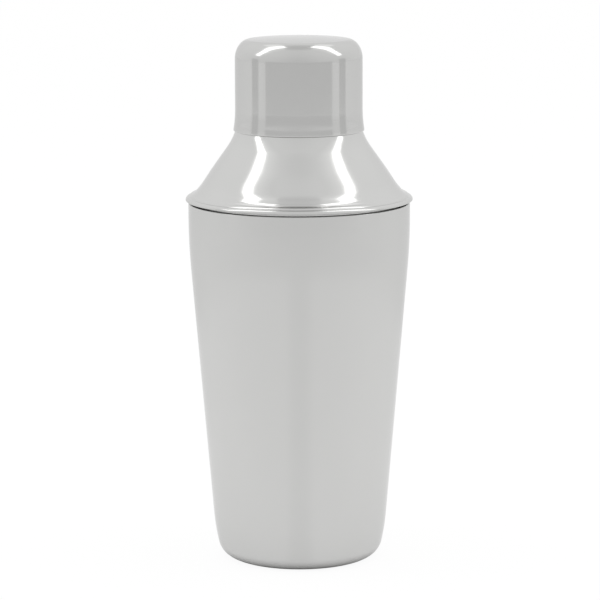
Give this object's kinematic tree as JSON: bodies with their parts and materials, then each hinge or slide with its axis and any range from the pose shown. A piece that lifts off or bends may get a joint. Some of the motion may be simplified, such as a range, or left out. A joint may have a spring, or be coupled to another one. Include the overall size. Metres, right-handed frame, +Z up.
{
  "type": "cocktail shaker",
  "caption": "Small steel shaker: tapered tumbler, conical shoulder with a strainer in its neck and a seal under its flange, and a deep push-on cap.",
  "frame": {"origin": "centre of the foot, on the surface that the shaker stands on", "axes": "+Z up along the axis that every piece is turned about; the object is round, so X and Y carry no meaning"},
  "size_m": [0.0742, 0.0742, 0.172],
  "materials": {
    "tumbler_steel": "satin polish with very fine lines round the body",
    "shoulder_steel": "bright polished stainless steel",
    "strainer_steel": "plain drawn stainless steel",
    "seal_silicone": "matt black silicone",
    "cap_steel": "bright polished stainless steel"
  },
  "bodies": {
    "tumbler": {"tumbler": "tumbler_steel"},
    "shoulder": {"shoulder": "shoulder_steel", "strainer": "strainer_steel", "seal_ring": "seal_silicone"},
    "cap": {"cap": "cap_steel"}
  },
  "joints": [
    {"name": "shoulder_lift", "type": "slide", "parent": "tumbler", "child": "shoulder", "axis": [0, 0, 1], "range_m": [0, 0.09]},
    {"name": "cap_lift", "type": "slide", "parent": "shoulder", "child": "cap", "axis": [0, 0, 1], "range_m": [0, 0.06]}
  ]
}
